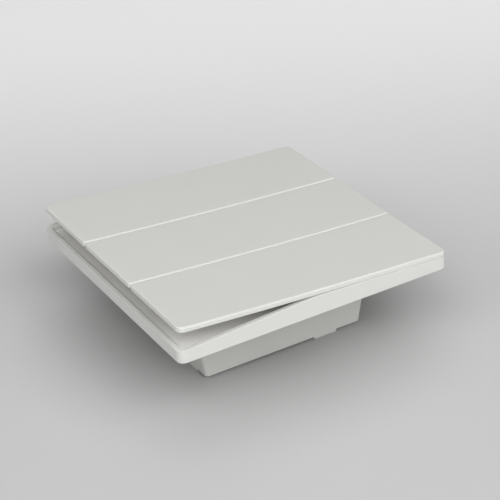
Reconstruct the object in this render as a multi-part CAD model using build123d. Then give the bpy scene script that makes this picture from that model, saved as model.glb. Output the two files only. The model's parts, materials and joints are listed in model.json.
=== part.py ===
from build123d import *
import math
import os

# Pushbutton dimmer switch for a square wall box: three strip keys rock on the ridged rim of a tray, and
# the dimmer's electronics sit in a drafted box behind it. Millimetres, +Z up and out of the wall.
# X runs along the keys, Y across them. The origin lies under the plate's middle, on the surface that
# the lugs of the rear box rest on.

# Plate. Its rim falls from the ridge a little flatter than the keys tilt, so that the gap under a resting
# key closes outwards.
plate_width = 86.0
plate_corner = 2.2
ridge_height = 6.1
ridge_round = 30.0
rim_slope = 3.05
rim_wall = 2.0
rim_round = 0.15
rim_inner_round = 0.9
foot_round = 0.3
well_corner = 0.8
floor_thickness = 1.9
land_width = 7.0
land_height = 0.8
recess_corner = 2.0

# Fixing holes of the plate, on the usual centres of a square wall box
fixing_centres = 60.3
fixing_radius = 2.0

# Rear box, measured at its end face. Its long walls are drafted over their whole height, its short ones
# only along the nose.
box_length = 51.8
box_width = 45.6
box_depth = 21.3
box_draft = 4.5
nose_height = 11.3
nose_draft = 8.5
box_wall = 1.6
box_corner = 1.2
box_inner_corner = 0.6
lug_length = 7.4
lug_depth = 2.4
lug_height = 0.7
lug_offset = 13.8

# Keys
key_thickness = 1.5
key_dish = 0.4
key_tilt = 3.75
key_gap = 0.35
key_end_inset = 0.2
key_side_inset = 0.15
key_corner = 2.0
key_inner_corner = 0.9
key_top_round = 0.5
key_under_round = 0.12
rest_gap = 0.2
trim_reach = 8.0

# Hinge of each key: two ears whose trunnions snap into open saddles on the tray
hinge_drop = 1.9
ear_spacing = 18.0
ear_thickness = 1.6
ear_radius = 1.4
ear_root = 6.0
ear_sink = 0.95
trunnion_radius = 1.0
running_gap = 0.04
saddle_gap = 0.3
saddle_thickness = 2.0
saddle_width = 4.6
saddle_rise = 0.6
saddle_throat = 1.7

# Plungers, their guides in the tray floor, return springs and push switches
plunger_radius = 1.5
plunger_gap = 0.15
guide_wall = 1.4
guide_height = 2.0
collar_radius = 2.5
collar_height = 1.0
collar_gap = 0.3
spigot_radius = 0.9
spigot_length = 2.0
spring_radius = 1.45
spring_wire_radius = 0.2
spring_wire_sides = 6
spring_turns = 5
housing_side = 6.4
housing_height = 3.0
housing_corner = 0.6
housing_boss_gap = 1.3
housing_edge = 0.85
well_radius = 2.1
well_floor = 0.8

# Circuit board and what carries it
board_thickness = 1.6
board_drop = 7.2
board_gap = 0.6
rib_y = 9.0
rib_width = 1.6
rib_seat = 1.1
peg_side = 2.0

# Screws between tray and box
screw_inset = 2.9
screw_radius = 1.2
screw_length = 8.0
screw_hole_gap = 0.15
screw_thread_gap = 0.03
screw_head_radius = 2.2
screw_head_height = 1.5
screw_head_chamfer = 0.6
screw_cross_width = 0.6
screw_cross_length = 2.6
screw_cross_depth = 0.7
boss_radius = 2.5
boss_spare = 1.0

# Wire terminals along the +Y wall of the box
terminal_count = 5
terminal_pitch = 5.8
terminal_depth = 8.3
terminal_wall = 0.8
terminal_gap = 0.5
terminal_lift = 0.9
terminal_bore_depth = 2.6
clamp_gap = 0.1
wire_radius = 1.55
wire_mouth = 3.2
wire_height = 5.4
clamp_screw_radius = 1.2
clamp_screw_head_radius = 1.75
clamp_screw_head_height = 1.3
clamp_screw_slot = 0.5
clamp_screw_gap = 0.15
clamp_screw_reach = 0.8

# Electronics on the board
chip_side = 7.0
chip_height = 1.0
chip_chamfer = 0.25
chip_x = 7.0
chip_edge = 12.0
spreader_length = 26.0
spreader_thickness = 1.5
spreader_height = 10.4
spreader_foot = 4.0
spreader_bend = 1.35
spreader_x = -4.0
spreader_edge = 3.0
transistor_width = 10.0
transistor_thickness = 4.4
transistor_gap = 0.3
transistor_chamfer = 0.6
transistor_spacing = 12.0
capacitor_length = 17.0
capacitor_width = 7.5
capacitor_height = 10.5
capacitor_round = 0.5
capacitor_side_edge = 4.0
capacitor_end_edge = 10.0
can_radius = 4.0
can_height = 9.5
can_chamfer = 0.5
can_groove = 0.3
can_groove_drop = 1.9
can_x = 6.0
can_gap = 3.7
choke_radius = 7.5
choke_hole = 3.2
choke_height = 6.5
choke_chamfer = 1.4
choke_x = -11.0
fuse_radius = 1.8
fuse_length = 8.5
fuse_cap_radius = 2.0
fuse_cap_length = 1.8
fuse_x = 5.0
fuse_gap = 2.5

# Heights worked out from the sizes above
plate_under = lug_height + box_depth
floor_under = plate_under + land_height
floor_top = floor_under + floor_thickness
ridge_top = plate_under + ridge_height
hinge_z = ridge_top + rest_gap - hinge_drop
nose_top = lug_height + nose_height
box_floor_top = lug_height + box_wall
board_top = floor_under - board_drop
board_under = board_top - board_thickness
collar_top = floor_under - collar_gap
collar_under = collar_top - collar_height
well_seat = board_top + well_floor

# Lengths and places worked out from the sizes above
key_length = plate_width - 2 * key_end_inset
key_width = (plate_width - 2 * key_side_inset - 2 * key_gap) / 3
key_pitch = key_width + key_gap
dish_radius = (key_length**2 / 4 + key_dish**2) / (2 * key_dish)
dish_centre = hinge_drop + dish_radius
saddle_y = (ear_spacing + ear_thickness + saddle_thickness) / 2 + saddle_gap
screw_x = box_length / 2 - screw_inset
screw_y = box_width / 2 - screw_inset
rows = {"front": -1, "middle": 0, "back": 1}


def half_length(z):
    """Half of the rear box's outer length at a height: the end face's plus the draft up to the nose's top."""
    return box_length / 2 + (min(z, nose_top) - lug_height) * math.tan(math.radians(nose_draft))


def half_width(z):
    """Half of the rear box's outer width at a height: the end face's plus the draft."""
    return box_width / 2 + (z - lug_height) * math.tan(math.radians(box_draft))


board_length = 2 * (half_length(board_under) - box_wall - board_gap)
board_width = 2 * (half_width(board_under) - box_wall - board_gap)
terminal_y = half_width(box_floor_top) - box_wall - terminal_gap
terminal_under = box_floor_top + terminal_lift
terminal_seat = terminal_under + terminal_bore_depth
terminal_back = terminal_y - terminal_depth
wire_z = terminal_under + wire_height

# Places of the switches and the electronics, measured from the board's edges and from each other
plunger_x = housing_side / 2 + housing_boss_gap + boss_radius - screw_x
plunger_spread = board_width / 2 - housing_edge - housing_side / 2
chip_y = board_width / 2 - chip_edge - chip_side / 2
spreader_y = spreader_edge - board_width / 2
transistor_front = spreader_y + spreader_thickness + transistor_thickness
capacitor_x = board_length / 2 - capacitor_side_edge - capacitor_width / 2
capacitor_y = capacitor_end_edge + capacitor_length / 2 - board_width / 2
can_y = transistor_front + can_gap + can_radius
choke_y = (transistor_front + terminal_back) / 2
fuse_y = terminal_back - fuse_gap - fuse_cap_radius


def underside_height(x):
    """Height of a resting key's dished underside over the surface, at a place along the key."""
    tilt = math.radians(key_tilt)
    centre_x = dish_centre * math.sin(tilt)
    centre_z = hinge_z + dish_centre * math.cos(tilt)
    return centre_z - math.sqrt(dish_radius**2 - (x - centre_x) ** 2)


plunger_top = underside_height(plunger_x) - plunger_gap


def block(x0, x1, y0, y1, z0, z1):
    """Box between two opposite corners."""
    centre = Pos((x0 + x1) / 2, (y0 + y1) / 2, (z0 + z1) / 2)
    return centre * Box(x1 - x0, y1 - y0, z1 - z0)


def upright(radius, z0, z1, x=0, y=0):
    """Cylinder along Z between two heights."""
    return Pos(x, y, (z0 + z1) / 2) * Cylinder(radius, z1 - z0)


def prism(sketch, z0, z1):
    """Plan outline carried up from one height to another."""
    return Pos(0, 0, z0) * extrude(sketch, z1 - z0)


def across(section, y, width):
    """XZ section given a width along Y, centred on y."""
    return Pos(0, y, 0) * extrude(Plane.XZ * section, width / 2, both=True)


def turned(points, top):
    """Solid of revolution about Z from a stepped (radius, height) profile that ends in a round nose."""
    line = Polyline(*points)
    radius, shoulder = points[-1]
    nose = RadiusArc((radius, shoulder), (0, top), -radius)
    axis = Line((0, top), points[0])
    return revolve(Plane.XZ * make_face([*line.edges(), nose, axis]), Axis.Z)


def corners(x, y):
    """The four places with these distances from the middle."""
    return [(i * x, j * y) for i in (-1, 1) for j in (-1, 1)]


def dished_section():
    """XZ section of a key between two arcs about the dish's centre, with the hinge axis at the origin."""
    half = key_length / 2 + trim_reach

    def arc(radius):
        end = dish_centre - math.sqrt(radius**2 - half**2)
        return ThreePointArc((-half, end), (0, dish_centre - radius), (half, end))

    under = arc(dish_radius)
    top = arc(dish_radius - key_thickness)
    return make_face([under, top, Line(under @ 0, top @ 0), Line(under @ 1, top @ 1)])


def rim_blank():
    """Plate blank whose top falls from a ridge across its middle to both ends, with rounded outer edges."""
    half = plate_width / 2
    end = ridge_top - half * math.tan(math.radians(rim_slope))
    roof = [(-half, plate_under), (-half, end), (0, ridge_top), (half, end), (half, plate_under)]
    outline = RectangleRounded(plate_width, plate_width, plate_corner)
    blank = prism(outline, plate_under, ridge_top)
    blank &= across(make_face(Polyline(*roof, close=True)), 0, plate_width)
    ridge = blank.edges().filter_by(Axis.Y).sort_by(Axis.Z)[-1]
    blank = fillet(ridge, ridge_round)
    edge_from = plate_width / 2 - plate_corner
    sloped = blank.edges().filter_by(Axis.Z, reverse=True)
    rim = [
        e
        for e in sloped
        if e.center().Z > floor_top and max(abs(e.center().X), abs(e.center().Y)) > edge_from
    ]
    blank = fillet(rim, rim_round)
    return fillet(blank.edges().group_by(Axis.Z)[0], foot_round)


def well_rim(tray):
    """Edges round the top of the tray's well: those that lie wholly in the inner half of the rim."""
    middle = (plate_width - rim_wall) / 2

    def inside(edge):
        return all(max(abs(v.X), abs(v.Y)) < middle for v in edge.vertices())

    sloped = tray.edges().filter_by(Axis.Z, reverse=True)
    return [e for e in sloped if e.center().Z > floor_top + rim_inner_round and inside(e)]


def hinge_saddle(y):
    """Upright with a round seat for a trunnion and a narrower throat that the trunnion snaps through."""
    seat = trunnion_radius + running_gap
    top = hinge_z + saddle_rise
    side = Pos(0, (floor_top + top) / 2) * Rectangle(saddle_width, top - floor_top)
    side -= Pos(0, hinge_z) * Circle(seat)
    side -= Pos(0, hinge_z + seat) * Rectangle(saddle_throat, 2 * seat)
    return across(side, y, saddle_thickness)


def make_base_tray():
    """Wall plate: ridged rim, sunk floor, saddles, plunger guides, fixing holes and board pegs."""
    inside = plate_width - 2 * rim_wall
    well = RectangleRounded(inside, inside, well_corner)
    recess = plate_width - 2 * land_width
    tray = rim_blank() - prism(well, floor_top, ridge_top)
    tray = fillet(well_rim(tray), rim_inner_round)
    tray -= prism(RectangleRounded(recess, recess, recess_corner), plate_under, floor_under)
    for row in rows.values():
        for side in (-1, 1):
            tray += hinge_saddle(row * key_pitch + side * saddle_y)
        y = row * plunger_spread
        bore = plunger_radius + running_gap
        tray += upright(bore + guide_wall, floor_top, floor_top + guide_height, plunger_x, y)
        tray -= upright(bore, floor_under, floor_top + guide_height, plunger_x, y)
    for x, y in corners(screw_x, screw_y):
        tray -= upright(screw_radius + screw_hole_gap, floor_under, floor_top, x, y)
    for side in (-1, 1):
        tray -= upright(fixing_radius, floor_under, floor_top, side * fixing_centres / 2)
    for x, y in corners(board_length / 2 - rib_seat, rib_y):
        half = peg_side / 2
        tray += block(x - half, x + half, y - half, y + half, board_top, floor_under)
    return tray


def make_key(row):
    """Dished strip with rounded edges and two hinge ears, tilted as it rests on the +X half of the rim."""
    plan = Rectangle(key_length, key_width)
    outer = plan.vertices().filter_by(lambda v: row * v.Y > 0)
    if outer:
        plan = fillet(outer, key_corner)
    plan = fillet(plan.vertices().filter_by(lambda v: row * v.Y <= 0), key_inner_corner)
    sheet = across(dished_section(), 0, key_width + 2 * trim_reach)
    key = sheet & prism(plan, 0, hinge_drop + key_dish + key_thickness + trim_reach)
    under, top = key.faces().sort_by(SortBy.AREA)[-2:].sort_by(Axis.Z)
    key = fillet(top.edges(), key_top_round)
    under = key.faces().sort_by(SortBy.AREA)[-2:].sort_by(Axis.Z)[0]
    key = fillet(under.edges(), key_under_round)
    for side in (-1, 1):
        key += hinge_ear(side)
    return Pos(0, row * key_pitch, hinge_z) * Rot(0, key_tilt, 0) * key


def hinge_ear(side):
    """Rib that narrows from the key's underside to the hinge axis, with a trunnion on its outer face."""
    root = Pos(0, hinge_drop + ear_sink / 2) * Rectangle(ear_root, ear_sink)
    outline = make_hull((Circle(ear_radius) + root).edges())
    ear = across(outline, side * ear_spacing / 2, ear_thickness)
    length = saddle_gap + saddle_thickness
    y = side * (ear_spacing + ear_thickness + length) / 2
    return ear + Pos(0, y, 0) * Rot(90, 0, 0) * Cylinder(trunnion_radius, length)


def make_rear_box():
    """Drafted cup with screw bosses in its corners, board ribs, lugs, wire mouths and screw access."""
    outer = drafted(0, box_corner, lug_height)
    inner = drafted(box_wall, box_inner_corner, box_floor_top)
    bosses = corners(screw_x, screw_y)
    fill = Part() + [upright(boss_radius, lug_height, floor_under, x, y) for x, y in bosses]
    for x, y in corners(board_length / 2, rib_y):
        inward = math.copysign(rib_seat, x)
        reach = math.copysign(board_gap + box_wall, x)
        ends = sorted((x - inward, x + reach))
        fill += block(*ends, y - rib_width / 2, y + rib_width / 2, lug_height, board_under)
    box = outer - inner + (fill & outer)
    depth = screw_length - floor_thickness + boss_spare
    for x, y in bosses:
        box -= upright(screw_radius + screw_thread_gap, floor_under - depth, floor_under, x, y)
    for turn in range(4):
        box += lug(turn)
    half = wire_mouth / 2
    wall_out = half_width(floor_under)
    bore = clamp_screw_head_radius + clamp_screw_gap
    for x in terminal_places():
        box -= block(x - half, x + half, terminal_y, wall_out, wire_z - half, wire_z + half)
        box -= upright(bore, lug_height, box_floor_top, x, clamp_y())
    return box


def drafted(inset, corner, low):
    """Box's outline, moved in by an inset, from a height up to the tray, through the nose's top."""
    outlines = []
    for z in (low, nose_top, floor_under):
        outline = RectangleRounded(2 * (half_length(z) - inset), 2 * (half_width(z) - inset), corner)
        outlines.append(Pos(0, 0, z) * outline)
    return loft(outlines, ruled=True)


def lug(turn):
    """Small lug under one wall of the box, flush with it. Each wall has one, all off to the same hand."""
    across_half = (box_width if turn % 2 == 0 else box_length) / 2
    start = lug_offset - lug_length / 2
    foot = block(start, start + lug_length, -across_half, lug_depth - across_half, 0, lug_height)
    return Rot(0, 0, 90 * turn) * foot


def make_plunger(row):
    """Turned push rod: spigot for the spring, collar under the tray floor, stem with a round nose."""
    points = [
        (0, collar_under - spigot_length),
        (spigot_radius, collar_under - spigot_length),
        (spigot_radius, collar_under),
        (collar_radius, collar_under),
        (collar_radius, collar_top),
        (plunger_radius, collar_top),
        (plunger_radius, plunger_top - plunger_radius),
    ]
    return Pos(plunger_x, row * plunger_spread, 0) * turned(points, plunger_top)


def make_return_spring(row):
    """Wire coil between the switch's well and the plunger's collar."""
    low = well_seat + spring_wire_radius
    height = collar_under - spring_wire_radius - low
    path = Helix(pitch=height / spring_turns, height=height, radius=spring_radius)
    section = RegularPolygon(spring_wire_radius, spring_wire_sides)
    coil = sweep(Plane(origin=path @ 0, z_dir=path % 0) * section, path=path, is_frenet=True)
    return Pos(plunger_x, row * plunger_spread, low) * coil


def make_switch_housing(row):
    """Square switch body with a round well for the spring."""
    top = board_top + housing_height
    body = prism(RectangleRounded(housing_side, housing_side, housing_corner), board_top, top)
    body -= upright(well_radius, well_seat, top)
    return Pos(plunger_x, row * plunger_spread, 0) * body


def make_main_board():
    """Board with its corners cut away round the screw bosses."""
    outline = Rectangle(board_length, board_width)
    notch = 2 * (boss_radius + board_gap)
    for x, y in corners(screw_x, screw_y):
        outline -= Pos(x, y) * Rectangle(notch, notch)
    return prism(outline, board_under, board_top)


def make_case_screws():
    """Four pan-head screws from the tray floor into the bosses of the box."""
    head_top = floor_top + screw_head_height
    head = upright(screw_head_radius, floor_top, head_top)
    head = chamfer(head.edges().sort_by(Axis.Z)[-1], screw_head_chamfer)
    for size in ((screw_cross_length, screw_cross_width), (screw_cross_width, screw_cross_length)):
        head -= prism(Rectangle(*size), head_top - screw_cross_depth, head_top)
    screw = head + upright(screw_radius, floor_top - screw_length, floor_top)
    return Compound(children=[Pos(x, y, 0) * screw for x, y in corners(screw_x, screw_y)])


def terminal_places():
    """X of each wire terminal, in a row about the middle."""
    first = -(terminal_count - 1) / 2
    return [(first + i) * terminal_pitch for i in range(terminal_count)]


def clamp_y():
    """Y of the clamps, in the middle of the terminal block."""
    return (terminal_y + terminal_back) / 2


def make_terminal_block():
    """Moulded block with a pocket for each clamp, open to the board, and a bore for each screw head."""
    half_row = terminal_count * terminal_pitch / 2 + terminal_wall / 2
    body = block(-half_row, half_row, terminal_back, terminal_y, terminal_under, board_under)
    half_x = (terminal_pitch - terminal_wall) / 2
    pocket = (terminal_back + terminal_wall, terminal_y - terminal_wall)
    bore = clamp_screw_head_radius + clamp_screw_gap
    half = wire_mouth / 2
    for x in terminal_places():
        body -= block(x - half_x, x + half_x, *pocket, terminal_seat, board_under)
        body -= upright(bore, terminal_under, terminal_seat, x, clamp_y())
        body -= block(x - half, x + half, clamp_y(), terminal_y, wire_z - half, wire_z + half)
    return body


def make_terminal_clamps():
    """Metal pillars with a cross hole for the wire and a hole for the screw that grips it."""
    half_x = (terminal_pitch - terminal_wall) / 2 - clamp_gap
    half_y = terminal_depth / 2 - terminal_wall - clamp_gap
    pillar = block(-half_x, half_x, -half_y, half_y, terminal_seat, board_under)
    pillar -= Pos(0, 0, wire_z) * Rot(90, 0, 0) * Cylinder(wire_radius, terminal_depth)
    pillar -= upright(clamp_screw_radius + screw_thread_gap, terminal_seat, wire_z)
    return Compound(children=[Pos(x, clamp_y(), 0) * pillar for x in terminal_places()])


def make_terminal_screws():
    """Slotted screws that stand in the bores of the block with their tips in the wire holes."""
    head_low = terminal_seat - clamp_screw_head_height
    screw = upright(clamp_screw_head_radius, head_low, terminal_seat)
    half = clamp_screw_slot / 2
    wide = clamp_screw_head_radius
    screw -= block(-wide, wide, -half, half, head_low, head_low + clamp_screw_slot)
    screw += upright(clamp_screw_radius, terminal_seat, wire_z - wire_radius + clamp_screw_reach)
    return Compound(children=[Pos(x, clamp_y(), 0) * screw for x in terminal_places()])


def make_control_chip():
    """Flat square package on the board's upper side."""
    chip = prism(Rectangle(chip_side, chip_side), board_top, board_top + chip_height)
    return Pos(chip_x, chip_y, 0) * chamfer(chip.edges().group_by(Axis.Z)[-1], chip_chamfer)


def make_heat_spreader():
    """Folded metal strip: an upright sheet on the board with a foot turned along the box's floor."""
    half = spreader_length / 2
    low = board_under - spreader_height
    sheet = block(-half, half, 0, spreader_thickness, low, board_under)
    foot = block(-half, half, 0, spreader_foot, low, low + spreader_thickness)
    spreader = sheet + foot
    outer = spreader.edges().filter_by(Axis.X).sort_by(lambda e: e.center().Y + e.center().Z)[0]
    return Pos(spreader_x, spreader_y, 0) * fillet(outer, spreader_bend)


def make_power_transistors():
    """Two moulded packages that stand against the heat spreader."""
    half = transistor_width / 2
    low = board_under - spreader_height + spreader_thickness + transistor_gap
    body = block(-half, half, spreader_y + spreader_thickness, transistor_front, low, board_under)
    body = chamfer(body.faces().sort_by(Axis.Y)[-1].edges(), transistor_chamfer)
    places = [spreader_x + side * transistor_spacing / 2 for side in (-1, 1)]
    return Compound(children=[Pos(place, 0, 0) * body for place in places])


def make_film_capacitor():
    """Boxed capacitor under the board."""
    outline = Rectangle(capacitor_width, capacitor_length)
    body = prism(outline, board_under - capacitor_height, board_under)
    rounded = body.edges().filter_by(Axis.Z) + body.edges().group_by(Axis.Z)[0]
    return Pos(capacitor_x, capacitor_y, 0) * fillet(rounded, capacitor_round)


def make_electrolytic_capacitor():
    """Can with a bevelled end and the rolled groove near its seal."""
    can = upright(can_radius, board_under - can_height, board_under)
    can = chamfer(can.edges().sort_by(Axis.Z)[0], can_chamfer)
    groove_at = board_under - can_groove_drop
    ring = upright(can_radius + can_groove, groove_at - can_groove, groove_at + can_groove)
    ring -= upright(can_radius - can_groove, groove_at - can_groove, groove_at + can_groove)
    return Pos(can_x, can_y, 0) * (can - ring)


def make_filter_choke():
    """Ring-shaped winding lying flat under the board."""
    low = board_under - choke_height
    ring = upright(choke_radius, low, board_under) - upright(choke_hole, low, board_under)
    return Pos(choke_x, choke_y, 0) * chamfer(ring.edges().filter_by(GeomType.CIRCLE), choke_chamfer)


def make_fuse():
    """Cartridge fuse along X with a cap at each end."""
    fuse = Cylinder(fuse_radius, fuse_length)
    for side in (-1, 1):
        place = Pos(0, 0, side * (fuse_length - fuse_cap_length) / 2)
        fuse += place * Cylinder(fuse_cap_radius, fuse_cap_length)
    return Pos(fuse_x, fuse_y, board_under - fuse_cap_radius) * Rot(0, 90, 0) * fuse


def make_all():
    """Every piece by name."""
    pieces = {
        "base_tray": make_base_tray(),
        "rear_box": make_rear_box(),
        "main_board": make_main_board(),
        "case_screws": make_case_screws(),
        "terminal_block": make_terminal_block(),
        "terminal_clamps": make_terminal_clamps(),
        "terminal_screws": make_terminal_screws(),
        "control_chip": make_control_chip(),
        "heat_spreader": make_heat_spreader(),
        "power_transistors": make_power_transistors(),
        "film_capacitor": make_film_capacitor(),
        "electrolytic_capacitor": make_electrolytic_capacitor(),
        "filter_choke": make_filter_choke(),
        "fuse": make_fuse(),
    }
    for name, row in rows.items():
        pieces[f"key_{name}"] = make_key(row)
        pieces[f"plunger_{name}"] = make_plunger(row)
        pieces[f"return_spring_{name}"] = make_return_spring(row)
        pieces[f"switch_housing_{name}"] = make_switch_housing(row)
    return pieces


os.makedirs("parts", exist_ok=True)
for node, piece in make_all().items():
    export_step(piece, f"parts/{node}.step")
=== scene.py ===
import json
import math

import bpy
import numpy as np
from bpy.props import FloatProperty, FloatVectorProperty, IntProperty, PointerProperty
from mathutils import Matrix, Vector


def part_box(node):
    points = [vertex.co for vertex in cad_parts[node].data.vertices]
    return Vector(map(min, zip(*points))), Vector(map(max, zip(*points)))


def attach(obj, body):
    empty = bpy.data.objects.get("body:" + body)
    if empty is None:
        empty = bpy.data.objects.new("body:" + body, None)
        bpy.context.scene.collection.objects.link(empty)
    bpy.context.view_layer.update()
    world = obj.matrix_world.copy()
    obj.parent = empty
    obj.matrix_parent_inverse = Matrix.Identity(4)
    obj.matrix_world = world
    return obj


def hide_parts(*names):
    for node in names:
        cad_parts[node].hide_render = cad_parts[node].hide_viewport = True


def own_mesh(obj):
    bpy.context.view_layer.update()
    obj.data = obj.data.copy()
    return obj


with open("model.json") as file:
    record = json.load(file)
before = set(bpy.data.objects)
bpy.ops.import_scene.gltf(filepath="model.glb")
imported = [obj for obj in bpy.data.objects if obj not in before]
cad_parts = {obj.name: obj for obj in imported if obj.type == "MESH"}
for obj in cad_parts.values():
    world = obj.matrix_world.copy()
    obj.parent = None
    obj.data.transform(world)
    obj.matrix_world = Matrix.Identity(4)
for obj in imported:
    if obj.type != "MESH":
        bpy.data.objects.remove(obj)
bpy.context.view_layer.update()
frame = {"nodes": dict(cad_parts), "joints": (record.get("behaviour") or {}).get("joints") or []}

ROWS = ("front", "middle", "back")
PLATE = "plate"
UP = np.array((0.0, 0.0, 1.0))
PLASTIC_IOR = 1.5

# Half the way between the two leads of each of these parts, along X and Y, in metres
LEADS = {
    "film_capacitor": (0, 0.0075),
    "electrolytic_capacitor": (0.00175, 0),
    "filter_choke": (0.0075, 0),
    "fuse": (0.0034, 0),
}

# Colour and roughness of the inner mouldings, by the start of their nodes' names
PLASTICS = {
    "plunger": ((0.72, 0.71, 0.67), 0.38),
    "switch_housing": ((0.035, 0.036, 0.038), 0.45),
    "control_chip": ((0.022, 0.022, 0.024), 0.5),
    "power_transistors": ((0.028, 0.028, 0.03), 0.42),
    "terminal_block": ((0.10, 0.105, 0.11), 0.5),
    "film_capacitor": ((0.62, 0.42, 0.06), 0.36),
}

# Scales of a metal's drawing lines along X, Y and Z: a small one makes long lines that way
EVEN = (1.0, 1.0, 1.0)
UPRIGHT = (1.0, 1.0, 0.08)
CROSSWAYS = (0.05, 1.0, 1.0)

# Colour, roughness and line scales of the bare metal pieces, by the start of their nodes' names
METALS = {
    "case_screws": ((0.70, 0.70, 0.69), 0.3, UPRIGHT),
    "terminal_clamps": ((0.80, 0.60, 0.28), 0.32, UPRIGHT),
    "terminal_screws": ((0.68, 0.68, 0.67), 0.34, UPRIGHT),
    "heat_spreader": ((0.76, 0.77, 0.78), 0.38, CROSSWAYS),
}

# Azimuth and elevation of each soft box, in degrees
LAMPS = {
    "front_high": (-10, 50),
    "front": (-10, 35),
    "right_front": (20, 35),
    "left_front": (-60, 50),
    "left_low": (-90, 15),
    "back_right": (150, 60),
}

bl_info = {
    "name": "Pushbutton dimmer switch",
    "version": (1, 0, 0),
    "blender": (4, 5, 0),
    "location": "3D View > Sidebar > Dimmer",
    "description": "Finishes, fine pieces and studio for a three-key dimmer switch",
    "category": "Object",
}


# Shader expressions


class Wire:
    """A shader socket that takes part in Python sums: each operator adds one Math node."""

    def __init__(self, finish, socket):
        self.finish = finish
        self.socket = socket

    def __add__(self, other):
        return self.finish.maths("ADD", self, other)

    def __radd__(self, other):
        return self.finish.maths("ADD", other, self)

    def __sub__(self, other):
        return self.finish.maths("SUBTRACT", self, other)

    def __rsub__(self, other):
        return self.finish.maths("SUBTRACT", other, self)

    def __mul__(self, other):
        return self.finish.maths("MULTIPLY", self, other)

    def __rmul__(self, other):
        return self.finish.maths("MULTIPLY", other, self)

    def __abs__(self):
        return self.finish.maths("ABSOLUTE", self, 0.0)

    def __gt__(self, other):
        return self.finish.maths("GREATER_THAN", self, other)

    def __lt__(self, other):
        return self.finish.maths("LESS_THAN", self, other)


class Finish:
    """A material in the making: its nodes, its Principled shader and the piece's own coordinates."""

    def __init__(self, name, **constants):
        self.material = bpy.data.materials.new(name)
        self.material.use_nodes = True
        self.tree = self.material.node_tree
        self.tree.nodes.clear()
        named = {key.replace("_", " "): value for key, value in constants.items()}
        self.shader = self.node("ShaderNodeBsdfPrincipled", sockets=named)
        self.node("ShaderNodeOutputMaterial", sockets={"Surface": self.wire(self.shader, "BSDF")})
        self.place = self.wire(self.node("ShaderNodeTexCoord"), "Object")

    def node(self, kind, settings=None, sockets=None):
        """Adds a node, applies its settings, then gives its sockets their values or links."""
        made = self.tree.nodes.new(kind)
        for key, value in (settings or {}).items():
            setattr(made, key, value)
        for key, value in (sockets or {}).items():
            if isinstance(value, Wire):
                self.tree.links.new(value.socket, made.inputs[key])
            else:
                made.inputs[key].default_value = value
        return made

    def wire(self, node, output):
        return Wire(self, node.outputs[output])

    def maths(self, operation, first, second):
        return self.wire(self.node("ShaderNodeMath", {"operation": operation}, {0: first, 1: second}), 0)

    def feed(self, socket, value):
        """Links a value that varies over the surface to a socket of the shader."""
        self.tree.links.new(value.socket, self.shader.inputs[socket])

    def noise(self, size, detail=2.0, stretch=None):
        """Soft random field, from 0 to 1, whose spots have about this size in metres."""
        place = self.place
        if stretch:
            place = self.wire(self.node("ShaderNodeMapping", sockets={"Vector": place, "Scale": stretch}), 0)
        sockets = {"Vector": place, "Scale": 1 / size, "Detail": detail}
        return self.wire(self.node("ShaderNodeTexNoise", sockets=sockets), 0)

    def along(self, direction):
        """Distance of a point along a direction, in metres."""
        sockets = {0: self.place, 1: direction}
        return self.wire(self.node("ShaderNodeVectorMath", {"operation": "DOT_PRODUCT"}, sockets), "Value")

    def reach(self):
        """Distance of a point from the origin, in metres."""
        return self.wire(self.node("ShaderNodeVectorMath", {"operation": "LENGTH"}, {0: self.place}), "Value")

    def step(self, value, start, end):
        """Smooth rise from 0 to 1 while the value goes from start to end."""
        settings = {"interpolation_type": "SMOOTHSTEP"}
        return self.wire(self.node("ShaderNodeMapRange", settings, {0: value, 1: start, 2: end}), 0)

    def blend(self, share, first, second):
        """Colour that goes from the first to the second as the share goes from 0 to 1."""
        settings = {"data_type": "RGBA"}
        return self.wire(self.node("ShaderNodeMix", settings, {0: share, 6: first, 7: second}), 2)

    def bump(self, height, depth):
        """Turns a height field, 0 to 1, into surface relief of a depth in metres."""
        sockets = {"Height": height, "Distance": depth, "Strength": 1.0}
        self.feed("Normal", self.wire(self.node("ShaderNodeBump", sockets=sockets), 0))


def shade(colour, factor):
    """A colour made lighter or darker, with full alpha."""
    return (*(min(1.0, part * factor) for part in colour[:3]), 1.0)


# Surfaces


def grid_quads(rows, columns, close_rows=False, close_columns=False):
    """Quads of a rows by columns grid: each joins a point with its neighbours at the next row and column."""
    i = np.arange(rows if close_rows else rows - 1)[:, None]
    j = np.arange(columns if close_columns else columns - 1)[None, :]
    right = (j + 1) % columns
    above = (i + 1) % rows
    quads = np.stack([i * columns + j, i * columns + right, above * columns + right, above * columns + j], -1)
    return quads.reshape(-1, 4)


def capped_quads(rows, columns, count=1):
    """Faces of a number of like tubes: a grid of rows along each tube and columns round it, with a flat cap
    at both ends. The tubes' points follow each other."""
    start = np.arange(count)[:, None, None] * rows * columns
    quads = (grid_quads(rows, columns, close_columns=True) + start).reshape(-1, 4)
    ring = np.arange(columns)
    first = ring[::-1] + start[:, 0]
    last = ring + (rows - 1) * columns + start[:, 0]
    return [*quads, *first, *last]


def new_piece(name, points, faces, material):
    """Smooth-shaded mesh object at the origin from point and face arrays."""
    mesh = bpy.data.meshes.new(name)
    mesh.from_pydata(np.asarray(points, float).reshape(-1, 3), [], [list(map(int, face)) for face in faces])
    mesh.polygons.foreach_set("use_smooth", np.ones(len(mesh.polygons), bool))
    mesh.materials.append(material)
    mesh.validate()
    mesh.update()
    piece = bpy.data.objects.new(name, mesh)
    bpy.context.scene.collection.objects.link(piece)
    return piece


def unit(vectors):
    """Vectors scaled to length 1."""
    return vectors / np.linalg.norm(vectors, axis=-1, keepdims=True)


def s_curve(share):
    """S-shaped rise: three times the square less twice the cube of a share from 0 to 1."""
    return share * share * (3 - 2 * share)


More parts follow.
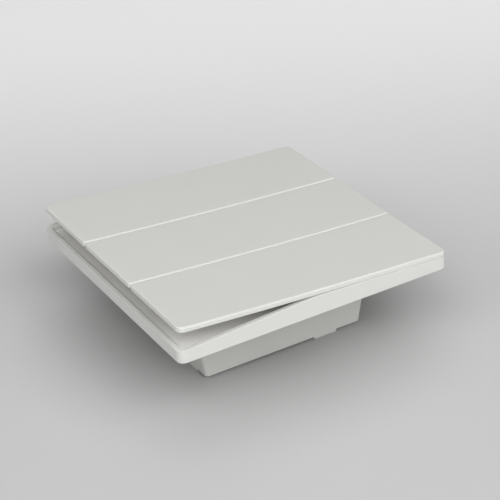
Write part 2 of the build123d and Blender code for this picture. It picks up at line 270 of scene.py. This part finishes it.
def tube(path, outward, radius, sides):
    """Round wire along a path: at each point a circle in the plane across the path, point + radius times
    (cos a times the outward normal + sin a times the binormal), with the end circles closed by flat caps."""
    tangent = unit(np.gradient(path, axis=0))
    normal = unit(outward - np.sum(outward * tangent, -1, keepdims=True) * tangent)
    binormal = np.cross(tangent, normal)
    angle = np.linspace(0, 2 * np.pi, sides, endpoint=False)[None, :, None]
    ring = np.cos(angle) * normal[:, None] + np.sin(angle) * binormal[:, None]
    return (path[:, None] + radius * ring).reshape(-1, 3), capped_quads(len(path), sides)


def revolved(radius, height, centre, sides):
    """Surface of revolution about Z: the profile (radius, height) turned through a full circle."""
    angle = np.linspace(0, 2 * np.pi, sides, endpoint=False)[None, :]
    x = radius[:, None] * np.cos(angle) + centre[0]
    y = radius[:, None] * np.sin(angle) + centre[1]
    z = np.broadcast_to(height[:, None], x.shape)
    return np.stack([x, y, z], -1).reshape(-1, 3)


def node_frame(node):
    """Lowest corner, highest corner and middle of a CAD node."""
    low, high = (np.array(corner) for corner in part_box(node))
    return low, high, (low + high) / 2


def paint(node, material):
    """Puts a finish on a CAD node's own material slots."""
    for slot in frame["nodes"][node].material_slots:
        slot.material = material


# Sizes and colours that a user would change


class ShellSettings(bpy.types.PropertyGroup):
    key_colour: FloatVectorProperty(
        name="Key colour",
        description="Pale warm grey of the keys",
        subtype="COLOR",
        default=(0.628, 0.633, 0.604),
    )
    tray_colour: FloatVectorProperty(
        name="Tray colour",
        description="Pale grey of the tray",
        subtype="COLOR",
        default=(0.631, 0.630, 0.610),
    )
    box_colour: FloatVectorProperty(
        name="Box colour",
        description="Grey of the box behind it",
        subtype="COLOR",
        default=(0.590, 0.593, 0.567),
    )
    # Painted light: a lighter colour painted inside the tray's well, lifting the recess under the keys that
    # lies in shade
    well_painted_light: FloatVectorProperty(
        name="Well colour",
        description="Colour inside the tray, under the keys",
        subtype="COLOR",
        default=(0.79, 0.78, 0.755),
    )
    well: FloatProperty(
        name="Well depth",
        description="From the tray's ridge to its floor",
        unit="LENGTH",
        default=0.0034,
    )
    rim: FloatProperty(
        name="Rim wall",
        description="Thickness of the tray's rim",
        unit="LENGTH",
        default=0.002,
    )
    roughness: FloatProperty(
        name="Roughness",
        description="Mean roughness of the satin moulding",
        subtype="FACTOR",
        default=0.46,
        min=0.0,
        max=1.0,
    )
    grain: FloatProperty(
        name="Grain size",
        description="Width of the mould's fine spark grain",
        unit="LENGTH",
        default=0.00022,
    )
    relief: FloatProperty(
        name="Grain relief",
        description="Depth of the mould's fine spark grain",
        unit="LENGTH",
        default=0.000006,
    )


class SpringSettings(bpy.types.PropertyGroup):
    colour: FloatVectorProperty(
        name="Colour",
        description="Colour of the spring wire",
        subtype="COLOR",
        default=(0.62, 0.61, 0.60),
    )
    wire: FloatProperty(
        name="Wire radius",
        description="Radius of the spring wire",
        unit="LENGTH",
        default=0.0002,
    )
    turns: FloatProperty(
        name="Turns",
        description="Turns of a coil, end turns included",
        default=6.5,
        min=3.0,
    )
    tight: FloatProperty(
        name="End turns",
        description="Turns at each end that lie almost closed",
        default=1.1,
        min=0.5,
    )
    steps: IntProperty(name="Steps a turn", description="Points along one turn", default=36, min=8)
    sides: IntProperty(name="Wire sides", description="Points round the wire", default=12, min=5)


class ChokeSettings(bpy.types.PropertyGroup):
    colour: FloatVectorProperty(
        name="Colour",
        description="Colour of the enamelled wire",
        subtype="COLOR",
        default=(0.56, 0.25, 0.10),
    )
    core: FloatVectorProperty(
        name="Core colour",
        description="Colour of the ring core",
        subtype="COLOR",
        default=(0.05, 0.05, 0.055),
    )
    wire: FloatProperty(
        name="Wire radius",
        description="Radius of the enamelled wire",
        unit="LENGTH",
        default=0.00034,
    )
    hole: FloatProperty(
        name="Hole radius",
        description="Radius of the hole through the winding",
        unit="LENGTH",
        default=0.0032,
    )
    turns: IntProperty(name="Turns", description="Turns round the ring core", default=30, min=4)
    spread: FloatProperty(
        name="Spread",
        description="Share of the ring that the turns cover",
        subtype="FACTOR",
        default=0.92,
        min=0.1,
        max=1.0,
    )
    steps: IntProperty(name="Steps a turn", description="Points along one turn", default=32, min=8)
    sides: IntProperty(name="Wire sides", description="Points round the wire", default=8, min=5)


class BoardSettings(bpy.types.PropertyGroup):
    lacquer: FloatVectorProperty(
        name="Lacquer",
        description="Green of the lacquered board",
        subtype="COLOR",
        default=(0.012, 0.085, 0.035),
    )
    tin: FloatVectorProperty(
        name="Tin",
        description="Colour of solder and of the chip's legs",
        subtype="COLOR",
        default=(0.66, 0.66, 0.65),
    )
    track: FloatProperty(
        name="Track pitch",
        description="Distance between neighbouring copper tracks",
        unit="LENGTH",
        default=0.0012,
    )
    pad: FloatProperty(
        name="Pad radius",
        description="Radius of a solder point",
        unit="LENGTH",
        default=0.00075,
    )
    pin: FloatProperty(name="Pin radius", description="Radius of a lead", unit="LENGTH", default=0.0003)
    height: FloatProperty(
        name="Lead height",
        description="Height of a lead over the board",
        unit="LENGTH",
        default=0.0011,
    )
    legs: IntProperty(name="Chip legs", description="Legs along each side of the chip", default=8, min=1)
    leg_pitch: FloatProperty(
        name="Leg pitch",
        description="Distance between neighbouring legs",
        unit="LENGTH",
        default=0.0008,
    )
    leg_width: FloatProperty(
        name="Leg width",
        description="Width of a leg",
        unit="LENGTH",
        default=0.00034,
    )
    leg_sheet: FloatProperty(
        name="Leg sheet",
        description="Thickness of a leg",
        unit="LENGTH",
        default=0.00014,
    )
    leg_reach: FloatProperty(
        name="Leg reach",
        description="From the chip's side to a leg's tip",
        unit="LENGTH",
        default=0.0011,
    )


class FuseSettings(bpy.types.PropertyGroup):
    dark_glaze: FloatVectorProperty(
        name="Dark glaze",
        description="Darker colour of the ceramic",
        subtype="COLOR",
        default=(0.70, 0.67, 0.58),
    )
    pale_glaze: FloatVectorProperty(
        name="Pale glaze",
        description="Lighter colour of the ceramic",
        subtype="COLOR",
        default=(0.80, 0.78, 0.70),
    )
    plating: FloatVectorProperty(
        name="Plating",
        description="Colour of the plated caps",
        subtype="COLOR",
        default=(0.70, 0.68, 0.64),
    )
    cap: FloatProperty(
        name="Cap length",
        description="Length of a metal end cap",
        unit="LENGTH",
        default=0.0018,
    )


class CanSettings(bpy.types.PropertyGroup):
    sleeve: FloatVectorProperty(
        name="Sleeve",
        description="Colour of the shrunk sleeve",
        subtype="COLOR",
        default=(0.012, 0.016, 0.04),
    )
    stripe: FloatVectorProperty(
        name="Stripe",
        description="Colour of the stripe down one side",
        subtype="COLOR",
        default=(0.5, 0.52, 0.55),
    )
    bare: FloatVectorProperty(
        name="Bare end",
        description="Colour of the bare pressed end",
        subtype="COLOR",
        default=(0.74, 0.75, 0.76),
    )
    stripe_start: FloatProperty(
        name="Stripe start",
        description="Share of the can's radius at which the stripe starts",
        subtype="FACTOR",
        default=0.78,
        min=0.0,
        max=1.0,
    )
    lip: FloatProperty(
        name="Lip",
        description="Width of the sleeve that is turned over the bare end",
        unit="LENGTH",
        default=0.0006,
    )


class StageSettings(bpy.types.PropertyGroup):
    azimuth: FloatProperty(
        name="Azimuth",
        description="Camera's turn about the vertical",
        subtype="ANGLE",
        default=math.radians(-28.310),
    )
    elevation: FloatProperty(
        name="Elevation",
        description="Camera's angle over the floor",
        subtype="ANGLE",
        default=math.radians(29.279),
    )
    roll: FloatProperty(
        name="Roll",
        description="Camera's turn about its own axis",
        subtype="ANGLE",
        default=math.radians(-4.115),
    )
    distance: FloatProperty(
        name="Distance",
        description="From the camera to its target",
        unit="LENGTH",
        default=0.48773,
    )
    aim: FloatVectorProperty(
        name="Aim",
        description="Shift of the target to the right and up in the picture, and its height over the floor",
        unit="LENGTH",
        default=(0.002170, 0.009333, 0.012),
    )
    lens: FloatProperty(
        name="Focal length",
        description="In millimetres on a 36 mm sensor",
        unit="CAMERA",
        default=119.03,
    )
    # Near and far floor colours hold painted light: the floor is painted darker in front and lighter behind
    # the plate
    floor_near: FloatVectorProperty(
        name="Near floor",
        description="Floor colour in front",
        subtype="COLOR",
        default=(0.534, 0.534, 0.534),
    )
    floor_far: FloatVectorProperty(
        name="Far floor",
        description="Floor colour behind",
        subtype="COLOR",
        default=(0.939, 0.939, 0.939),
    )
    painted_light_fade: FloatVectorProperty(
        name="Floor fade",
        description="Distances behind the plate between which the near floor turns into the far one",
        size=2,
        unit="LENGTH",
        default=(-0.017, 0.284),
    )
    # Painted shadow: a darker floor colour painted under and round the plate, in place of its soft shadow
    floor_painted_shadow: FloatVectorProperty(
        name="Close floor",
        description="Floor colour under the plate",
        subtype="COLOR",
        default=(0.262, 0.262, 0.262),
    )
    # Reach of the painted shadow, from the plate's middle out to the open floor
    painted_shadow_reach: FloatProperty(
        name="Floor clear",
        description="Distance from the plate's middle to the open floor",
        unit="LENGTH",
        default=0.076,
    )
    floor_radius: FloatProperty(
        name="Floor radius",
        description="Radius of the round floor",
        unit="LENGTH",
        default=4.0,
    )
    lamp_distance: FloatProperty(
        name="Lamp distance",
        description="From the plate to each soft box",
        unit="LENGTH",
        default=1.4,
    )
    lamp_spread: FloatProperty(
        name="Lamp spread",
        description="Side of each soft box as a share of its distance",
        default=0.8,
    )
    front_high: FloatProperty(
        name="High front lamp",
        description="Soft box high in front",
        unit="POWER",
        default=3.5,
    )
    front: FloatProperty(name="Front lamp", description="Soft box in front", unit="POWER", default=7.2)
    right_front: FloatProperty(
        name="Right front lamp",
        description="Soft box front right",
        unit="POWER",
        default=9.2,
    )
    left_front: FloatProperty(
        name="Left front lamp",
        description="Soft box front left",
        unit="POWER",
        default=7.75,
    )
    left_low: FloatProperty(
        name="Low left lamp",
        description="Soft box low at the left",
        unit="POWER",
        default=4.1,
    )
    back_right: FloatProperty(
        name="Back right lamp",
        description="Soft box high behind",
        unit="POWER",
        default=3.9,
    )
    ambient: FloatProperty(name="Ambient", description="Strength of the even room light", default=0.05)


SETTINGS = {
    "dimmer_shell": ShellSettings,
    "dimmer_spring": SpringSettings,
    "dimmer_choke": ChokeSettings,
    "dimmer_board": BoardSettings,
    "dimmer_fuse": FuseSettings,
    "dimmer_can": CanSettings,
    "dimmer_stage": StageSettings,
}


# Finishes


def painted_light_in_well(finish, look):
    """Mask of the painted light in the tray's well: 1 on the upper side inside the tray's rim and 0
    elsewhere, with a soft edge over the rim's inner round: made from the larger of the distances from the
    middle along X and along Y, and from the height."""
    high = node_frame("base_tray")[1]
    x, y = abs(finish.along((1, 0, 0))), abs(finish.along((0, 1, 0)))
    wall = high[0] - look.rim
    inside = 1 - finish.step(finish.maths("MAXIMUM", x, y), wall, wall + look.rim / 2)
    upper = finish.along((0, 0, 1)) > high[2] - look.well - look.rim / 4
    return inside * upper


def moulded(name, colour, look, well=None, cloud_grains=60, mottle=0.012, sheen=0.08, sparkle=0.10):
    """Satin moulding: fine spark grain as relief, with faint clouds of colour and of gloss. A well is a
    lighter colour painted on the upper side inside the tray's rim, as painted light in the shaded recess
    under the keys."""
    finish = Finish(name, IOR=PLASTIC_IOR)
    grain = finish.noise(look.grain, detail=3.0)
    cloud = finish.noise(look.grain * cloud_grains, detail=2.0)
    tone = finish.blend(cloud, shade(colour, 1 - mottle), shade(colour, 1 + mottle))
    # Painted light: the well colour is painted over the tray's recess, which lies in shade under the keys
    if well is not None:
        tone = finish.blend(painted_light_in_well(finish, look), tone, shade(well, 1.0))
    finish.feed("Base Color", tone)
    finish.feed("Roughness", look.roughness + (cloud - 0.5) * sheen + (grain - 0.5) * sparkle)
    finish.bump(grain, look.relief)
    return finish.material


def engineering_plastic(
    name,
    colour,
    roughness,
    streak=0.0016,
    mottle=0.1,
    sheen=0.14,
    grain=0.0002,
    relief=0.000006,
):
    """Inner moulding: even colour with faint flow streaks along Y and a dull, slightly uneven surface."""
    finish = Finish(name, IOR=PLASTIC_IOR)
    flow = finish.noise(streak, detail=3.0, stretch=(1.0, 0.35, 1.0))
    finish.feed("Base Color", finish.blend(flow, shade(colour, 1 - mottle), shade(colour, 1 + mottle)))
    finish.feed("Roughness", roughness + (flow - 0.5) * sheen)
    finish.bump(finish.noise(grain), relief)
    return finish.material


def metal(
    name,
    colour,
    roughness,
    brush=UPRIGHT,
    line=0.00012,
    stain=0.0025,
    dark=0.86,
    light=1.06,
    relief=0.000004,
):
    """Bare metal with fine drawing lines in one direction and a faint tarnish."""
    finish = Finish(name, Metallic=1.0)
    lines = finish.noise(line, detail=2.0, stretch=brush)
    tarnish = finish.noise(stain, detail=4.0)
    finish.feed("Base Color", finish.blend(tarnish, shade(colour, dark), shade(colour, light)))
    finish.feed("Roughness", roughness + (lines - 0.5) * 0.2 + (tarnish - 0.5) * 0.1)
    finish.bump(lines, relief)
    return finish.material


def lacquered(
    name,
    look,
    field_size=0.007,
    seam=0.04,
    width=0.4,
    copper=1.9,
    weave_size=0.0005,
    roughness=0.3,
    relief=0.00003,
):
    """Lacquered laminate: copper tracks show as lighter raised lines, along X in some fields and along Y in
    others, with bare seams between the fields."""
    finish = Finish(name, IOR=PLASTIC_IOR)
    field = finish.noise(field_size, detail=0.0)
    turned = field > 0.5
    across = finish.along((0, 1, 0)) * turned + finish.along((1, 0, 0)) * (1 - turned)
    from_track = finish.maths("PINGPONG", across, look.track / 2)
    off_seam = finish.maths("PINGPONG", field, 0.5) < 0.5 - seam
    track = (from_track < look.track * width / 2) * off_seam
    weave = finish.noise(weave_size, detail=1.0)
    finish.feed("Base Color", finish.blend(track, shade(look.lacquer, 1.0), shade(look.lacquer, copper)))
    finish.feed("Roughness", roughness + weave * 0.12)
    finish.bump(track + weave * 0.2, relief)
    return finish.material


def sleeved(name, look, low, high, middle, roughness=0.34, mottle_size=0.0008, crease=0.00008):
    """Can in a shrunk sleeve with a stripe down its +X side, and a bare end with a cross pressed into it."""
    finish = Finish(name, IOR=PLASTIC_IOR)
    reach = (high[0] - low[0]) / 2
    x = finish.along((1, 0, 0)) - middle[0]
    y = finish.along((0, 1, 0)) - middle[1]
    off_axis = finish.maths("SQRT", x * x + y * y, 0.0)
    bare = (finish.along((0, 0, 1)) < low[2] + look.lip / 2) * (off_axis < reach - look.lip)
    stripe = x > look.stripe_start * reach
    sleeve = finish.blend(stripe, shade(look.sleeve, 1.0), shade(look.stripe, 1.0))
    finish.feed("Base Color", finish.blend(bare, sleeve, shade(look.bare, 1.0)))
    finish.feed("Metallic", bare)
    finish.feed("Roughness", roughness + bare * 0.06 + (finish.noise(mottle_size) - 0.5) * 0.1)
    arm = finish.maths("MINIMUM", abs(x), abs(y))
    finish.bump(finish.step(arm, 0.0, look.lip / 3) * bare, crease)
    return finish.material


def capped_tube(name, look, low, high, middle, roughness=0.22, glaze_size=0.0012):
    """Glazed ceramic tube with plated caps over both ends."""
    finish = Finish(name, IOR=PLASTIC_IOR)
    along = abs(finish.along((1, 0, 0)) - middle[0])
    cap = along > (high[0] - low[0]) / 2 - look.cap
    glaze = finish.noise(glaze_size, detail=3.0)
    ceramic = finish.blend(glaze, shade(look.dark_glaze, 1.0), shade(look.pale_glaze, 1.0))
    finish.feed("Base Color", finish.blend(cap, ceramic, shade(look.plating, 1.0)))
    finish.feed("Metallic", cap)
    finish.feed("Roughness", roughness + cap * 0.08 + glaze * 0.08)
    return finish.material


# Operators, one for each piece or group of like pieces


class DIMMER_OT_shell(bpy.types.Operator):
    """Finish the keys, the tray and the box behind it"""

    bl_idname = "dimmer.shell"
    bl_label = "Finish shell"

    def execute(self, context):
        look = context.scene.dimmer_shell
        key = moulded("key_finish", look.key_colour, look)
        for row in ROWS:
            paint(f"key_{row}", key)
        # The tray's well gets painted light: a lighter colour inside the rim
        paint("base_tray", moulded("tray_finish", look.tray_colour, look, look.well_painted_light))
        paint("rear_box", moulded("box_finish", look.box_colour, look))
        return {"FINISHED"}


class DIMMER_OT_springs(bpy.types.Operator):
    """Wind a round-wire coil in place of each return spring"""

    bl_idname = "dimmer.springs"
    bl_label = "Wind return springs"

    def execute(self, context):
        look = context.scene.dimmer_spring
        material = metal("spring_finish", look.colour, 0.28)
        for row in ROWS:
            self.wind(look, row, material)
        return {"FINISHED"}

    def wind(self, look, row, material, touch=2.05):
        """Helix whose height grows slowly over the closed end turns and evenly between them: the height is
        the running sum of a pitch that eases from the wire's own width up to full and back."""
        node = f"return_spring_{row}"
        low, high, middle = node_frame(node)
        radius = (high[0] - low[0]) / 2 - look.wire
        turn = np.linspace(0, look.turns, int(look.turns * look.steps) + 1)
        ends = np.minimum(turn, look.turns - turn) / look.tight
        ease = np.clip(ends - 0.5, 0, 1)
        room = high[2] - low[2] - 2 * look.wire
        closed = touch * look.wire / (room / look.turns)
        pitch = closed + (1 - closed) * s_curve(ease)
        rise = np.concatenate([[0], np.cumsum((pitch[1:] + pitch[:-1]) / 2)])
        angle = 2 * np.pi * turn
        outward = np.stack([np.cos(angle), np.sin(angle), np.zeros_like(angle)], -1)
        height = low[2] + look.wire + room * rise / rise[-1]
        path = middle * (1, 1, 0) + radius * outward + height[:, None] * UP
        points, faces = tube(path, outward, look.wire, look.sides)
        coil = new_piece(f"coil_{row}", points, faces, material)
        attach(coil, PLATE)
        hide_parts(node)
        stroke = next(j for j in frame["joints"] if j["name"] == f"plunger_{row}_stroke")
        keep = 1 - stroke["range_m"][1] / (high[2] - low[2])
        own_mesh(coil)


class DIMMER_OT_choke(bpy.types.Operator):
    """Wind enamelled wire round a ring core in place of the filter choke"""

    bl_idname = "dimmer.choke"
    bl_label = "Wind filter choke"

    def execute(self, context):
        look = context.scene.dimmer_choke
        low, high, middle = node_frame("filter_choke")
        reach = (high[0] - low[0]) / 2
        ring = (reach + look.hole) / 2
        half = np.array((reach - look.hole, high[2] - low[2])) / 2
        pieces = {
            "choke_winding": self.wind(look, middle, ring, half - look.wire),
            "choke_core": self.core(middle, ring, half - 2 * look.wire),
        }
        finishes = {
            "choke_winding": metal("enamelled_wire", look.colour, 0.3, EVEN),
            "choke_core": engineering_plastic("core_finish", look.core, 0.6),
        }
        for name, (points, faces) in pieces.items():
            piece = new_piece(name, points, faces, finishes[name])
            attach(piece, PLATE)
            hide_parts("filter_choke")
        return {"FINISHED"}

    def section(self, angle, half):
        """Squared-off oval: half sizes times the signed square roots of cosine and sine."""
        flat = np.stack([np.cos(angle), np.sin(angle)], -1)
        return np.sign(flat) * np.sqrt(np.abs(flat)) * half

    def wind(self, look, middle, ring, half):
        """Wire that goes round the ring's squared-off section once a turn, while the section's place moves
        evenly about Z over the part of the ring that is wound."""
        turn = np.linspace(0, look.turns, look.turns * look.steps + 1)
        about = 2 * np.pi * look.spread * (turn / look.turns - 0.5)
        outward, rise = self.section(2 * np.pi * turn, half).T
        radial = np.stack([np.cos(about), np.sin(about), np.zeros_like(about)], -1)
        path = middle + (ring + outward)[:, None] * radial + rise[:, None] * UP
        away = np.cos(2 * np.pi * turn)[:, None] * radial + np.sin(2 * np.pi * turn)[:, None] * UP
        return tube(path, away, look.wire, look.sides)

    def core(self, middle, ring, half, steps=24, sides=64):
        """The squared-off section turned about Z."""
        outward, rise = self.section(np.linspace(0, 2 * np.pi, steps, endpoint=False), half).T
        points = revolved(ring + outward, middle[2] + rise, middle, sides)
        return points, grid_quads(steps, sides, close_rows=True, close_columns=True)


class DIMMER_OT_board(bpy.types.Operator):
    """Lacquer the board, solder the leads on its upper side and give the chip its legs"""

    bl_idname = "dimmer.board"
    bl_label = "Finish board"

    def execute(self, context):
        look = context.scene.dimmer_board
        paint("main_board", lacquered("board_finish", look))
        tin = metal("solder_finish", look.tin, 0.25, EVEN)
        pieces = {"solder_points": self.solder(look), "chip_legs": self.legs(look)}
        for name, (points, faces) in pieces.items():
            piece = new_piece(name, points, faces, tin)
            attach(piece, PLATE)
        return {"FINISHED"}

    def leads(self, look, body=0.01, pitch=0.00254, clamp=0.0048, clamps=5):
        """Places of the leads: pairs over the capacitors, the choke and the fuse, threes a pitch apart at the
        middle of each transistor's body and one over each clamp, without those that come up under a switch
        or the chip."""
        places = []
        for node, reach in LEADS.items():
            middle = node_frame(node)[2][:2]
            places += [middle - reach, middle + reach]
        low, high, middle = node_frame("power_transistors")
        aside = (high[0] - low[0] - body) / 2
        places += [(middle[0] + s * aside + i * pitch, middle[1]) for s in (-1, 1) for i in (-1, 0, 1)]
        low, high, middle = node_frame("terminal_clamps")
        places += [(x, middle[1]) for x in np.linspace(low[0] + clamp / 2, high[0] - clamp / 2, clamps)]
        places = np.array(places)
        for node in ("control_chip", *(f"switch_housing_{row}" for row in ROWS)):
            low, high, _ = node_frame(node)
            over = (places > low[:2] - 2 * look.pad) & (places < high[:2] + 2 * look.pad)
            places = places[~over.all(axis=1)]
        return places

    def solder(self, look, steps=7, sides=14, blunt=0.5, dome=0.4):
        """Cones with hollow flanks: the radius falls from the pad's to the pin's with the square of the
        height that is left, then the pin's end is blunted by a low dome."""
        places = self.leads(look)
        share = np.linspace(0, 1, steps)
        radius = np.append(look.pin + (look.pad - look.pin) * (1 - share) ** 2, look.pin * blunt)
        height = np.append(share * look.height, look.height + look.pin * dome)
        top = node_frame("main_board")[1][2]
        cone = revolved(radius, top + height, (0, 0), sides)
        points = cone + np.pad(places, ((0, 0), (0, 1)))[:, None]
        return points, capped_quads(len(radius), sides, len(places))

    def legs(self, look, steps=13, root=-0.1, knee=0.25, shin=0.4):
        """Bent strips: the height over the board falls in an S from the chip's middle to its foot, over the
        shin's share of the reach after the knee. The four corners of a strip's section go along that line
        from a root inside the chip, each strip is set off along the chip's side, and the side is turned to
        all four."""
        low, high, middle = node_frame("control_chip")
        share = np.linspace(root, 1, steps)
        bend = np.clip((share - knee) / shin, 0, 1)
        foot = look.leg_sheet / 2
        out = (high[0] - low[0]) / 2 + look.leg_reach * share
        rise = foot + ((high[2] - low[2]) / 2 - foot) * (1 - s_curve(bend))
        line = np.stack([out, rise], -1)
        tangent = unit(np.gradient(line, axis=0))
        normal = np.stack([-tangent[:, 1], tangent[:, 0]], -1)
        edge = line[:, None] + normal[:, None] * np.array((1, -1, -1, 1))[:, None] * foot
        side = np.array((-1, -1, 1, 1)) * look.leg_width / 2
        place = (np.arange(look.legs) - (look.legs - 1) / 2) * look.leg_pitch
        shape = (4, look.legs, steps, 4)
        angle = np.arange(4)[:, None, None, None] * np.pi / 2
        beside = place[:, None, None] + side
        x = middle[0] + np.cos(angle) * edge[..., 0] - np.sin(angle) * beside
        y = middle[1] + np.sin(angle) * edge[..., 0] + np.cos(angle) * beside
        points = np.stack([np.broadcast_to(v, shape) for v in (x, y, low[2] + edge[..., 1])], -1)
        return points, capped_quads(steps, 4, 4 * look.legs)


class DIMMER_OT_inside(bpy.types.Operator):
    """Finish the switches, plungers, screws, terminals and electronics inside"""

    bl_idname = "dimmer.inside"
    bl_label = "Finish inner pieces"

    def execute(self, context):
        for stem, look in PLASTICS.items():
            self.paint_all(stem, engineering_plastic(f"{stem}_finish", *look))
        for stem, look in METALS.items():
            self.paint_all(stem, metal(f"{stem}_finish", *look))
        fuse, can = "fuse", "electrolytic_capacitor"
        paint(fuse, capped_tube("fuse_finish", context.scene.dimmer_fuse, *node_frame(fuse)))
        paint(can, sleeved("can_finish", context.scene.dimmer_can, *node_frame(can)))
        return {"FINISHED"}

    def paint_all(self, stem, material):
        """Puts a finish on each node whose name starts with the stem."""
        for node in frame["nodes"]:
            if node.startswith(stem):
                paint(node, material)


class DIMMER_OT_stage(bpy.types.Operator):
    """Set up the floor, the soft boxes, the room light and the camera"""

    bl_idname = "dimmer.stage"
    bl_label = "Set up studio"

    def execute(self, context):
        look = context.scene.dimmer_stage
        self.lay_floor(look)
        self.hang_lamps(look)
        self.fill_room(context, look)
        self.place_camera(context, look)
        context.scene.view_settings.view_transform = "Standard"
        return {"FINISHED"}

    def lay_floor(self, look, first=0.002, count=40, sides=64):
        """Round flat sheet: rings whose radius grows with the square of their number, radius times
        (cos a, sin a, 0), under the lugs, with the first ring closed by one flat face."""
        rings = look.floor_radius * np.linspace(first, 1, count) ** 2
        points = revolved(rings, np.zeros_like(rings), (0, 0), sides)
        quads = grid_quads(count, sides, close_columns=True)[:, ::-1]
        finish = Finish("floor_paper", Roughness=0.9)
        away = (-math.sin(look.azimuth), math.cos(look.azimuth), 0.0)
        # Painted light: the floor is painted lighter behind the plate, fading from the near colour to the far
        # one
        depth = finish.step(finish.along(away), *look.painted_light_fade)
        # Painted shadow: the floor turns from the darker painted shadow colour under the plate to the open
        # floor
        clear = finish.step(finish.reach(), 0.0, look.painted_shadow_reach)
        open_floor_painted_light = finish.blend(depth, (*look.floor_near, 1), (*look.floor_far, 1))
        finish.feed("Base Color", finish.blend(clear, (*look.floor_painted_shadow, 1), open_floor_painted_light))
        floor = new_piece("floor", points, [*quads, np.arange(sides)], finish.material)

    def hang_lamps(self, look):
        """Square soft boxes on a sphere about the plate, each turned to face it."""
        for name, (azimuth, elevation) in LAMPS.items():
            lamp = bpy.data.lights.new(f"{name}_lamp", "AREA")
            lamp.size = look.lamp_distance * look.lamp_spread
            lamp.energy = getattr(look, name)
            stand = bpy.data.objects.new(f"{name}_lamp", lamp)
            toward = direction(math.radians(azimuth), math.radians(elevation))
            stand.location = toward * look.lamp_distance
            stand.rotation_euler = toward.to_track_quat("Z", "Y").to_euler()
            bpy.context.scene.collection.objects.link(stand)

    def fill_room(self, context, look):
        world = bpy.data.worlds.new("room")
        world.use_nodes = True
        sky = world.node_tree.nodes["Background"]
        sky.inputs["Color"].default_value = (1, 1, 1, 1)
        sky.inputs["Strength"].default_value = look.ambient
        context.scene.world = world

    def place_camera(self, context, look):
        """Camera on its sphere about the target, rolled about its own axis."""
        back = direction(look.azimuth, look.elevation)
        level = Vector((math.cos(look.azimuth), math.sin(look.azimuth), 0))
        upright = back.cross(level)
        right = math.cos(look.roll) * level + math.sin(look.roll) * upright
        up = math.cos(look.roll) * upright - math.sin(look.roll) * level
        target = Vector((0, 0, look.aim[2])) + look.aim[0] * right + look.aim[1] * up
        camera = bpy.data.objects.new("camera", bpy.data.cameras.new("camera"))
        camera.data.lens = look.lens
        camera.data.clip_start = 0.01
        camera.data.clip_end = 100
        turn = Matrix((right, up, back)).transposed()
        camera.matrix_world = Matrix.Translation(target + look.distance * back) @ turn.to_4x4()
        context.scene.collection.objects.link(camera)
        context.scene.camera = camera


def direction(azimuth, elevation):
    """Unit vector from the object towards a place at this azimuth and elevation."""
    flat = math.cos(elevation)
    return Vector((math.sin(azimuth) * flat, -math.cos(azimuth) * flat, math.sin(elevation)))


class DIMMER_PT_panel(bpy.types.Panel):
    """Lists the operators that dress the switch"""

    bl_idname = "DIMMER_PT_panel"
    bl_label = "Dimmer switch"
    bl_space_type = "VIEW_3D"
    bl_region_type = "UI"
    bl_category = "Dimmer"

    def draw(self, context):
        for operator in OPERATORS:
            self.layout.operator(operator.bl_idname)


OPERATORS = (
    DIMMER_OT_shell,
    DIMMER_OT_springs,
    DIMMER_OT_choke,
    DIMMER_OT_board,
    DIMMER_OT_inside,
    DIMMER_OT_stage,
)
CLASSES = (*SETTINGS.values(), *OPERATORS, DIMMER_PT_panel)


def register():
    for item in CLASSES:
        bpy.utils.register_class(item)
    for name, group in SETTINGS.items():
        setattr(bpy.types.Scene, name, PointerProperty(type=group))


def unregister():
    for name in SETTINGS:
        delattr(bpy.types.Scene, name)
    for item in reversed(CLASSES):
        bpy.utils.unregister_class(item)


def main():
    register()
    bpy.ops.dimmer.shell()
    bpy.ops.dimmer.springs()
    bpy.ops.dimmer.choke()
    bpy.ops.dimmer.board()
    bpy.ops.dimmer.inside()
    bpy.ops.dimmer.stage()


if __name__ == "__main__":
    main()
